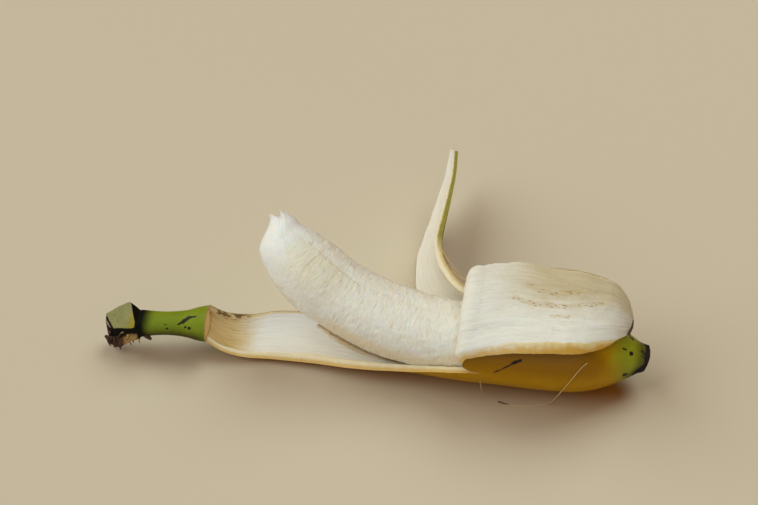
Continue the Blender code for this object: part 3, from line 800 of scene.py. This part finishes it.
class Field:
    """A number or vector that varies over a surface. Numbers add and multiply as usual."""

    def __init__(self, look, socket):
        self.look = look
        self.socket = socket

    def __add__(self, other):
        return self.look.math("ADD", self, other)

    def __sub__(self, other):
        return self.look.math("SUBTRACT", self, other)

    def __mul__(self, other):
        return self.look.math("MULTIPLY", self, other)

    def step(self, start, end):
        """0 up to start, 1 from end on. Start may be the larger of the two."""
        inputs = {"Value": self, "From Min": start, "From Max": end}
        return self.look.node("MapRange", 0, inputs, interpolation_type="SMOOTHSTEP")

    def band(self, start, full, last_full, end):
        """1 from full to last_full, down to 0 at start and at end."""
        return self.step(start, full) * self.step(end, last_full)

    def mix(self, a, b):
        """From colour a at 0 to colour b at 1. Three numbers are a screen colour."""
        a, b = (from_srgb(*c) if isinstance(c, tuple) else c for c in (a, b))
        return self.look.node("Mix", 2, {0: self, 6: a, 7: b}, data_type="RGBA")

    def blend(self, a, b):
        """From number a at 0 to number b at 1."""
        return self.look.node("Mix", 0, {0: self, 2: a, 3: b}, data_type="FLOAT")

    def parts(self):
        return [self.look.node("SeparateXYZ", axis, {0: self}) for axis in range(3)]


class Look:
    """A procedural material. Places and sizes in it are in millimetres."""

    def __init__(self, name, **sockets):
        self.material = bpy.data.materials.new(name)
        self.material.use_nodes = True
        self.tree = self.material.node_tree
        self.shader = self.tree.nodes["Principled BSDF"]
        self.shader.inputs["Subsurface Radius"].default_value = SCATTER_RADIUS
        for socket, value in sockets.items():
            self.shader.inputs[socket.replace("_", " ")].default_value = value
        here = self.node("TexCoord", "Object")
        self.here = self.vector("SUBTRACT", self.vector("SCALE", here, scale=1 / MM), tuple(SHIFT))
        self.chart = self.node("Attribute", "Vector", attribute_name="chart")

    def put(self, socket, value):
        if isinstance(value, Field):
            self.tree.links.new(value.socket, socket)
        else:
            socket.default_value = value

    def node(self, kind, out=0, inputs=None, **settings):
        made = self.tree.nodes.new("ShaderNode" + kind)
        for key, value in settings.items():
            setattr(made, key, value)
        for socket, value in (inputs or {}).items():
            self.put(made.inputs[socket], value)
        return Field(self, made.outputs[out])

    def vector(self, operation, a, b=None, scale=None, out="Vector"):
        inputs = {0: a, 1: b, "Scale": scale}
        inputs = {socket: value for socket, value in inputs.items() if value is not None}
        return self.node("VectorMath", out, inputs, operation=operation)

    def math(self, operation, a, b, clamp=False):
        return self.node("Math", 0, {0: a, 1: b}, operation=operation, use_clamp=clamp)

    def noise(self, pitch, detail=2, where=None):
        """Noise from 0 to 1 whose bumps are about pitch apart, a number or one per axis."""
        pitch = pitch if isinstance(pitch, tuple) else (pitch,) * 3
        scaled = self.vector("DIVIDE", where or self.here, pitch)
        return self.node("TexNoise", "Fac", {"Vector": scaled, "Scale": 1, "Detail": detail})

    def paint(self, colour, share):
        """Lays a colour over those so far, as far as share says."""
        self.colour = share.mix(self.colour, colour)

    def most(self, *shares):
        top = shares[0]
        for share in shares[1:]:
            top = self.math("MAXIMUM", top, share)
        return top

    def ragged(self, where, size):
        """The place, pushed about by up to size."""
        push = self.node("TexNoise", "Color", {"Vector": where, "Scale": 0.9, "Detail": 2})
        push = self.vector("SUBTRACT", push, (0.5, 0.5, 0.5))
        return self.vector("ADD", where, self.vector("SCALE", push, scale=2 * size))

    def beyond(self, point, direction):
        """How far each place lies past a point, in a direction."""
        apart = self.vector("SUBTRACT", self.here, point)
        return self.vector("DOT_PRODUCT", apart, direction, out="Value")

    def near(self, where, start, end, width):
        """1 on the line from start to end, down to 0 at width from it."""
        start, end = np.array(start, float), np.array(end, float)
        run = end - start
        apart = self.vector("SUBTRACT", where, tuple(start))
        share = self.vector("DOT_PRODUCT", apart, tuple(run / (run @ run)), out="Value")
        share = self.math("MULTIPLY", share, 1, clamp=True)
        foot = self.vector("SCALE", tuple(run), scale=share)
        distance = self.vector("LENGTH", self.vector("SUBTRACT", apart, foot), out="Value")
        return distance.step(width, 0.5 * width)

    def marks(self, where, lines):
        """The union of several lines, each given as its places and the widths between them."""
        runs = [run for places, widths in lines for run in zip(places, places[1:], widths)]
        return self.most(*(self.near(where, *run) for run in runs))

    def finish(self, roughness, height=None, depth=1):
        """Joins up the colour, the roughness and a bump of the given depth in millimetres."""
        self.put(self.shader.inputs["Base Color"], self.colour)
        self.put(self.shader.inputs["Roughness"], roughness)
        if height is not None:
            inputs = {"Strength": 1, "Distance": depth * MM, "Height": height}
            self.put(self.shader.inputs["Normal"], self.node("Bump", 0, inputs))
        return self.material


# Marks on the skin: the places a line passes, then its width from each to the next
TRUNK_MARKS = (
    (((47, -16, 18.7), (50.7, -15.5, 21.3), (54, -14.6, 24), (56.5, -14, 25.3)), (0.36, 0.5, 0.9)),
    (((98.9, -1.6, 21.6), (99.2, -1.4, 21.4)), (1.1,)),
    (((97.2, -6.4, 14.2), (98, -6.2, 13.6)), (1.2,)),
    (((95.4, -1.9, 24.5), (96.7, -1.5, 23.5)), (0.5,)),
    (((98.1, 6.2, 23), (99.3, 4.7, 22.6)), (0.6,)),
    (((98.3, 5, 23.3), (99.6, 5.4, 22.3)), (0.5,)),
    (((103.4, 1.4, 19.9), (104.9, 0.6, 18.9)), (0.9,)),
    (((102.6, 0.2, 19.2), (104.9, -0.6, 18)), (0.5,)),
)
STEM_MARKS = (
    (((-79.8, -7.9, 16.8), (-77.8, -6.9, 17.7), (-75.7, -5.4, 18.8), (-73.2, -5.1, 19.5)), (0.6, 1.1, 0.6)),
    (((-75.4, -8.9, 16.2), (-74.9, -8.9, 16.2)), (0.8,)),
    (((-76.9, -8.6, 16.2), (-76.6, -8.6, 16.4)), (0.6,)),
    (((-84.3, -9.2, 15.1), (-83.9, -9.2, 15.1)), (0.5,)),
    (((-85.2, -8.4, 16.5), (-84.8, -8.4, 16.5)), (0.4,)),
)
TRUNK_SPECKS = ((((82, -14.5, 12), (93, -9, 12)), (4,)),)
# Marks placed in the chart: veins on the folded strip's inner face, scratches on the fruit
VEINS = (
    (((35, 11.6, 1), (39.6, 13, 1), (46, 13.9, 1)), (1.6, 1.6)),
    (((46, 13.2, 1), (53, 11.4, 1)), (1.6,)),
    (((29.9, 17.5, 1), (36.5, 19.6, 1), (49.2, 19.2, 1), (61.9, 15.9, 1)), (1.4, 1.4, 1.4)),
    (((44, 24.4, 1), (50.5, 24, 1)), (1.2,)),
)
FLESH_SCRATCHES = ((((77, 28, 1), (76.8, 31.3, 1)), (0.35,)), (((83.8, 32.7, 1), (50.6, 31.8, 1)), (0.12,)))
# Painted shade where the fruit lies close over the lower strip: a broad tint and a narrow dark line
SHADE_UNDER_FRUIT = (
    (((69, 128.7, 1), (62.3, 123, 1), (49.2, 114.2, 1), (34.6, 109, 1)), (2.2, 3.4, 3)),
)
SHADOW_LINE_UNDER_FRUIT = (
    (((70, 129.6, 1), (63.7, 124.9, 1), (54.8, 119.3, 1)), (0.8, 1.3)),
    (((54.8, 119.3, 1), (46.3, 114.3, 1), (36, 110.2, 1)), (1.3, 1.1)),
)
# One end of the knife cut's left side, and the level direction across that side
FACET_CORNER = (-111.2, -4, 12.3)
FACET_SIDE = (0.79, 0.61, 0)


def skin_look():
    look = Look("skin", Specular_IOR_Level=0.14)
    x, y, z = look.here.parts()
    across = look.chart.parts()[1]
    mottle = look.noise(5, 4)
    fine = look.noise((3, 0.6, 0.6), 3)
    grain = look.noise(1.1, 3)
    wander = (mottle - 0.5) * 6
    shift = wander * 0.3

    # Yellow, with painted shade under the fold and under the stem, green towards the blossom end and on the
    # stem
    look.colour = mottle.mix((170, 120, 0), (188, 138, 0))
    # Painted shade: the trunk is darker where the fold hangs over it
    shade_under_fold = z.step(14, 23) * x.step(98, 84) * y.step(-6, -10)
    look.paint((136, 88, 0), shade_under_fold * 0.8)
    ripe_green = mottle.mix((128, 134, 18), (156, 158, 38))
    look.paint(ripe_green, (x + (z - 18) * 0.25 + wander).step(89, 98.5))
    green = mottle.mix((112, 130, 16), (134, 148, 34))
    look.paint(green, (x + wander).step(-45, -66))
    lower_edge = across.step(CHART_STEP + 10, CHART_STEP + 1)
    look.paint((206, 160, 76), lower_edge * x.band(-72, -64, -8, 8))
    back_edge = across.step(2.2 * CHART_STEP, 2.3 * CHART_STEP)
    look.paint((158, 124, 66), back_edge * y.step(4, 9))
    look.paint((150, 146, 40), back_edge * y.step(32, 46))
    look.paint((132, 104, 12), fine.step(0.5, 0.8) * 0.2)
    specks = look.marks(look.here, TRUNK_SPECKS) * grain.step(0.6, 0.66)
    look.paint((100, 62, 4), specks * 0.7)
    # Painted shade: dark on the underside of the neck and the stem
    shade_under_stem = x.step(-64, -74) * (z + shift).step(17, 11)
    look.paint((52, 42, 6), shade_under_stem * 0.9)
    ragged = look.ragged(look.here, 0.5)
    look.paint((42, 26, 14), look.marks(ragged, TRUNK_MARKS))
    look.paint((40, 34, 14), look.marks(ragged, STEM_MARKS))

    # The black blossom end, which reaches further along below
    low = look.math("MINIMUM", look.most(look.math("SUBTRACT", 16, z), 0), 3.4)
    reach = x + low * 1.15 + wander * 0.25
    look.paint((66, 58, 26), reach.step(99.5, 103.8) * 0.75)
    black = reach.step(103.9, 104.9)
    look.paint(grain.mix((22, 16, 14), (52, 40, 38)), black)

    # The crown: a black collar, torn below and cut with a knife above
    collar = (x + shift).step(-89.6, -94.6)
    look.paint((12, 10, 3), collar)
    knife = np.array(KNIFE_NORMAL) / np.linalg.norm(KNIFE_NORMAL)
    height = look.beyond(KNIFE_POINT, tuple(knife))
    red_brown = grain.mix((46, 28, 20), (112, 76, 56))
    tan = grain.mix((116, 84, 42), (190, 152, 94))
    left = (x + shift).step(-101.2, -103)
    torn = (height + shift).step(-2.3, -3.4) * x.step(-95.6, -96.6) * z.step(13.5, 11.5)
    look.paint(left.mix(tan, red_brown), torn)
    flank = look.beyond(FACET_CORNER, FACET_SIDE) + (grain - 0.5) * 0.6
    facet = height.step(-0.3, -0.2) * x.step(-96.6, -97)
    pale = mottle.mix((124, 124, 82), (162, 154, 100))
    pale = (x - y + wander).step(-93, -87).mix(pale, (150, 138, 46))
    pale = (grain.step(0.55, 0.75) * 0.5).mix(pale, (92, 98, 44))
    pale = flank.step(0.5, 0.3).mix(pale, (26, 20, 14))
    side = grain.mix((118, 92, 72), (170, 146, 118))
    pale = flank.step(-0.2, -0.4).mix(pale, side)
    look.paint(pale, facet)
    roughness = look.most(black, torn, facet, collar).blend(0.42, 0.85)
    return look.finish(roughness, fine + torn * grain * 6, 0.05)


def inside_look():
    look = Look("skin_inside", Subsurface_Weight=0.35, Subsurface_Scale=2 * MM, Specular_IOR_Level=0.3)
    along, across, depth = look.chart.parts()
    streaks = look.noise((14, 1.3, 1), 4, look.chart)
    patches = look.noise(6, 3)
    fine = look.noise(0.8, 3)
    uneven = patches - 0.5
    look.colour = streaks.mix((230, 224, 206), (249, 247, 240))

    # The folded strip, straw-coloured towards its far side, with the same colour laid faintly towards its
    # end as painted shade where it curves down from the light, and dotted veins
    folded = across.step(60, 50)
    far_side = (across + uneven * 14).step(27, 9) * along.step(16, 44)
    # Straw colour on the far side; towards the end the same colour is painted shade
    end = (along + uneven * 10).step(56, 74)
    straw_and_shade = folded * look.most(far_side, end * 0.36)
    look.paint(streaks.mix((182, 162, 116), (226, 210, 174)), straw_and_shade * 0.9)
    dots = look.noise((1.6, 0.8, 1), where=look.vector("ADD", look.chart, (0, 0, 7)))
    veins = folded * look.marks(look.chart, VEINS)
    look.paint((206, 178, 124), veins * 0.28)
    look.paint((166, 124, 60), veins * dots.step(0.56, 0.65) * 0.8)

    # The lower strip, with its tan neck, the shade under the fruit and stains by the stem
    lower = across.band(80, 90, 150, 160)
    look.paint(streaks.mix((244, 240, 228), (254, 252, 248)), lower * 0.5)
    neck = (along + uneven * 8).step(90, 106)
    look.paint(streaks.mix((206, 172, 104), (242, 216, 160)), lower * neck)
    dark = look.noise((10, 0.9, 1), where=look.chart).step(0.56, 0.7)
    look.paint((160, 118, 60), lower * along.step(94, 104) * dark * 0.5)
    # Painted shade where the fruit lies over the lower strip: a broad golden tint and a dark line along the
    # fruit's edge
    ragged = look.ragged(look.chart, 1.2)
    shade = lower * look.marks(ragged, SHADE_UNDER_FRUIT) * patches.step(0.2, 0.6)
    look.paint((214, 180, 106), shade * 0.65)
    look.paint((142, 108, 24), lower * look.marks(ragged, SHADOW_LINE_UNDER_FRUIT) * 0.65)
    lip = lower * across.step(105, 101) * along.step(86, 74)
    look.paint((248, 232, 188), lip * 0.7)
    stain = lower * across.step(132.5, 135) * along.band(97, 101, 110, 114)
    stain = stain * look.noise((2.8, 1.2, 1), 4, look.chart).step(0.5, 0.58)
    look.paint((110, 74, 32), stain * 0.85)
    ring = (depth.step(0.68, 0.58) * 0.8).mix((238, 206, 138), (164, 126, 48))
    look.paint(ring, across.band(117, 117.9, 118.1, 119) * along.step(112, 114))

    # The strip behind, warmer towards its upper edge, and the fine lines on all three
    look.paint((236, 222, 176), across.step(226, 236) * 0.5)
    lines = look.noise((11, 0.55, 1), 3, look.chart)
    clear = folded.blend(0.06, 0.2)
    look.paint((176, 156, 112), lines.step(0.52, 0.7) * clear)
    return look.finish(0.6, streaks * 1.2 + fine * 0.8 + lines * clear * -7, 0.2)


def cut_look():
    look = Look("skin_cut", Subsurface_Weight=0.25, Subsurface_Scale=1.5 * MM, Specular_IOR_Level=0.3)
    along, across, depth = look.chart.parts()
    fine = look.noise(0.9, 3)
    patches = look.noise(4, 3)
    depth = depth + (fine - 0.5) * 0.3
    cream = patches.mix((230, 212, 168), (243, 230, 196))
    butter = patches.mix((206, 164, 86), (224, 188, 116))
    olive = patches.mix((132, 122, 36), (160, 150, 60))

    # The folded strip's near edge, then its far edge
    ripe = along.step(22, 48)
    tan = ripe.mix((236, 196, 118), (212, 162, 62))
    inner = ripe.mix((250, 236, 204), (236, 212, 150))
    look.colour = (depth + (patches - 0.5)).step(0.2, 0.9).mix(tan, inner)
    look.paint(depth.step(0.25, 0.5).mix(olive, cream), across.step(20, 10))

    # The lower strip's near edge, then its far edge
    look.paint(depth.step(0.2, 0.75).mix(butter, cream), across.step(60, 70))
    pale = (along.step(88, 102) * 0.7).mix((226, 214, 182), (206, 172, 108))
    stain = look.noise((2.4, 1, 1), 3, look.chart).step(0.44, 0.54)
    stain = stain * along.band(97, 101, 110, 115)
    pale = (stain * 0.9).mix(pale, (96, 64, 30))
    pale = (depth.step(0.4, 0.1) * 0.7).mix(pale, (150, 132, 84))
    look.paint(pale, across.step(120, 130))

    # The lower and the upper edge of the strip behind
    look.paint(cream, across.step(160, 180))
    green = along.step(40, 56) * depth.step(0.85, 0.45)
    edge = depth.step(0.1, 0.6).mix((206, 178, 112), (240, 228, 196))
    look.paint(green.mix(edge, olive), across.step(215, 225))
    return look.finish(0.55, fine, 0.15)


def flesh_look():
    look = Look("flesh", Subsurface_Weight=1, Subsurface_Scale=4 * MM, Specular_IOR_Level=0.35)
    along, across, _ = look.chart.parts()
    strokes = look.noise((0.7, 1.3, 1), 3, look.chart)
    patches = look.noise(7, 3)
    lumps = look.noise(2.6, 3)
    cream = patches.mix((240, 233, 216), (249, 245, 236))
    look.colour = (along + patches * 6).step(78, 94).mix(cream, (245, 245, 240))
    # Painted shade: golden along the fruit's lower side where it lies close over the peel
    low = across.band(19, 22.4, 22.8, 25.4) * along.step(66, 50)
    look.paint((234, 208, 146), low * 0.5)
    # Painted shade: beiger in uneven patches on the upper, inner side of the bend, which turns from the
    # light
    beige_shade = along.band(54, 68, 82, 92) * across.band(24, 28.5, 31.5, 33.5)
    look.paint((236, 225, 194), beige_shade * patches.blend(0.2, 0.7))
    dents = strokes.step(0.5, 0.34) * along.step(94, 78) * lumps.step(0.6, 0.4)
    look.paint((208, 196, 152), dents * 0.4)
    scratches = look.marks(look.ragged(look.chart, 0.3), FLESH_SCRATCHES) * patches.step(0.3, 0.5)
    look.paint((190, 168, 116), scratches * 0.4)
    return look.finish(0.5, strokes * 0.8 + lumps * 2.2, 0.35)


def thread_look():
    look = Look("thread", Specular_IOR_Level=0.4)
    look.colour = look.noise(1.5).mix((184, 146, 88), (218, 186, 134))
    return look.finish(0.5)


def fray_look():
    look = Look("fray", Specular_IOR_Level=0.3)
    x = look.here.parts()[0]
    tone = look.noise(1.2, 3)
    look.colour = tone.mix((40, 24, 16), (98, 62, 44))
    tan = tone.mix((120, 84, 40), (196, 156, 92))
    look.paint(tan, x.band(-103.6, -102.4, -94.5, -93))
    return look.finish(0.7)


def floor_look():
    look = Look("floor", Specular_IOR_Level=0.2)
    look.colour = look.noise(300, 1).mix((205, 193, 166), (207, 195, 168))
    return look.finish(0.8)


# Camera, table and light
FLOOR_REACH = 6000
CAMERA_AIM = (-6, 14, 0)
CAMERA_DISTANCE = 636.3
CAMERA_AZIMUTH = math.radians(8)
CAMERA_ELEVATION = math.radians(47.5)
CAMERA_LENS = 70
CAMERA_SENSOR = 36
# Each soft light: name, direction to it, how wide it is, colour, strength and what it lights
SOFT_LIGHTS = (
    ("window", (-0.816, 0.071, 0.574), math.radians(64), (0.79, 0.92, 0.96), 2.56, "floor"),
    ("ceiling", (0.272, 0.583, 0.766), math.radians(40), (0.81, 0.95, 0.96), 1.54, "floor"),
    ("side_box", (-0.816, 0.071, 0.574), math.radians(64), (0.91, 0.965, 0.92), 1.2, "object"),
    ("top_box", (0, 0, 1), math.radians(80), (0.775, 0.965, 0.92), 1.48, "object"),
    ("front_card", (0.1, -0.92, 0.38), math.radians(60), (0.44, 0.74, 1), 0.84, "object"),
)
ROOM_COLOUR = (1, 0.35, 0.08, 1)
ROOM_STRENGTH = 0.21
WALL_COLOUR = (205, 195, 172)


def make_floor():
    mesh = bpy.data.meshes.new("floor")
    reach = FLOOR_REACH * MM
    corners = [(-reach, -reach, 0), (reach, -reach, 0), (reach, reach, 0), (-reach, reach, 0)]
    mesh.from_pydata(corners, [], [(0, 1, 2, 3)])
    mesh.materials.append(floor_look())
    floor = put_in_scene("floor", mesh)
    return floor


def make_camera():
    level = math.cos(CAMERA_ELEVATION)
    right = math.sin(CAMERA_AZIMUTH) * level
    near = math.cos(CAMERA_AZIMUTH) * level
    back = Vector((right, -near, math.sin(CAMERA_ELEVATION)))
    data = bpy.data.cameras.new("camera")
    data.lens = CAMERA_LENS
    data.sensor_width = CAMERA_SENSOR
    camera = put_in_scene("camera", data)
    camera.location = (Vector(CAMERA_AIM) + back * CAMERA_DISTANCE) * MM
    camera.rotation_euler = back.to_track_quat("Z", "Y").to_euler()
    bpy.context.scene.camera = camera


def make_light(lit):
    for name, towards, width, colour, strength, target in SOFT_LIGHTS:
        data = bpy.data.lights.new(name, "SUN")
        data.angle = width
        data.color = colour
        data.energy = strength
        lamp = put_in_scene(name, data)
        lamp.rotation_euler = Vector(towards).to_track_quat("Z", "Y").to_euler()
        lamp.light_linking.receiver_collection = lit[target]


def make_room():
    """A dim warm light from all round, and a pale wall to be seen past the floor."""
    world = bpy.data.worlds.new("room")
    world.use_nodes = True
    tree = world.node_tree
    fill = tree.nodes["Background"]
    fill.inputs["Color"].default_value = ROOM_COLOUR
    fill.inputs["Strength"].default_value = ROOM_STRENGTH
    wall = tree.nodes.new("ShaderNodeBackground")
    wall.inputs["Color"].default_value = from_srgb(*WALL_COLOUR)
    seen = tree.nodes.new("ShaderNodeLightPath")
    either = tree.nodes.new("ShaderNodeMixShader")
    tree.links.new(seen.outputs["Is Camera Ray"], either.inputs[0])
    tree.links.new(fill.outputs[0], either.inputs[1])
    tree.links.new(wall.outputs[0], either.inputs[2])
    tree.links.new(either.outputs[0], tree.nodes["World Output"].inputs["Surface"])
    bpy.context.scene.world = world
    bpy.context.scene.view_settings.view_transform = "Standard"


def main():
    make_camera()
    lit = {name: bpy.data.collections.new(name + "_lights") for name in ("floor", "object")}
    make_light(lit)
    make_room()
    lit["floor"].objects.link(make_floor())
    peel = build("skin", peel_shell(), [skin_look(), inside_look(), cut_look()], relief_of_peel)
    flesh = build("fruit", flesh_shell(), [flesh_look()])
    threads = build("threads", threads_shell(), [thread_look(), fray_look()])
    for piece, node in ((peel, "peel"), (flesh, "flesh")):
        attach(piece, "root")
        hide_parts(node)
    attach(threads, "root")
    for piece in (peel, flesh, threads):
        lit["object"].objects.link(piece)


main()
